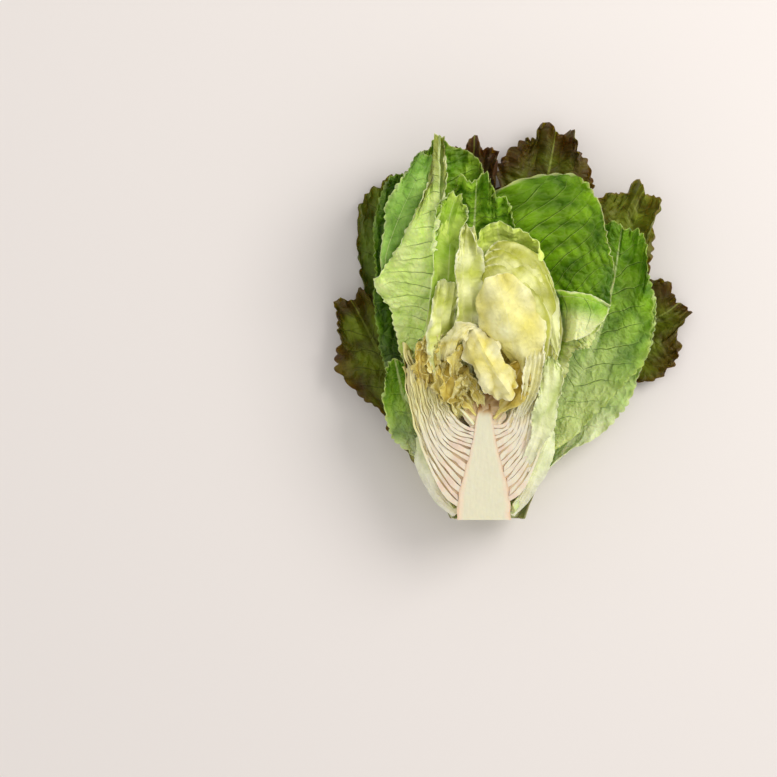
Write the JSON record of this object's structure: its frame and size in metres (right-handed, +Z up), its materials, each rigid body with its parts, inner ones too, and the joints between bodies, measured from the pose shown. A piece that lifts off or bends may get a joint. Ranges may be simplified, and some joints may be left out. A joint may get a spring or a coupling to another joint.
{
  "type": "halved head lettuce",
  "caption": "Half of a red-tipped head lettuce, cut lengthwise through the core and lying on its outer leaves, cut face up.",
  "frame": {"origin": "middle of the base of the object's box, on the surface that the outer leaves lie on", "axes": "+Y from the cut stem end towards the leaf tips, +Z up out of the cut face, +X to the right seen from above with the tips away"},
  "size_m": [0.2254, 0.2496, 0.0819],
  "materials": {
    "core_flesh": "moist cut stem flesh, pale greenish cream",
    "leaf_base_flesh": "juicy cut leaf bases, pinkish cream",
    "heart_leaf": "soft crinkled heart leaf, pale yellow",
    "green_leaf": "blistered leaf, light to mid green, satin",
    "red_leaf": "ruffled outer leaf, dark red-brown over green, satin"
  },
  "bodies": {
    "root": {"core": "core_flesh", "heart_fold": "heart_leaf", "heart_small": "heart_leaf", "heart_right_low": "heart_leaf", "heart_dome": "heart_leaf", "heart_left_upright": "heart_leaf", "heart_left_low": "heart_leaf", "heart_left_folds": "heart_leaf", "leaf_base_7": "leaf_base_flesh", "leaf_base_6": "leaf_base_flesh", "leaf_base_5": "leaf_base_flesh", "leaf_base_4": "leaf_base_flesh", "leaf_base_3": "leaf_base_flesh", "leaf_base_2": "leaf_base_flesh", "leaf_base_1": "leaf_base_flesh", "heart_wrap": "heart_leaf", "green_leaf_low_left": "green_leaf", "green_leaf_top": "green_leaf", "green_leaf_left_front": "green_leaf", "green_leaf_round": "green_leaf", "green_leaf_top_left": "green_leaf", "green_leaf_left_back": "green_leaf", "green_leaf_right": "green_leaf", "green_leaf_low_right": "green_leaf", "red_leaf_top_left": "red_leaf", "red_leaf_top_right": "red_leaf", "red_leaf_low_left": "red_leaf", "red_leaf_top": "red_leaf", "red_leaf_right": "red_leaf", "red_leaf_left": "red_leaf"}
  },
  "joints": []
}
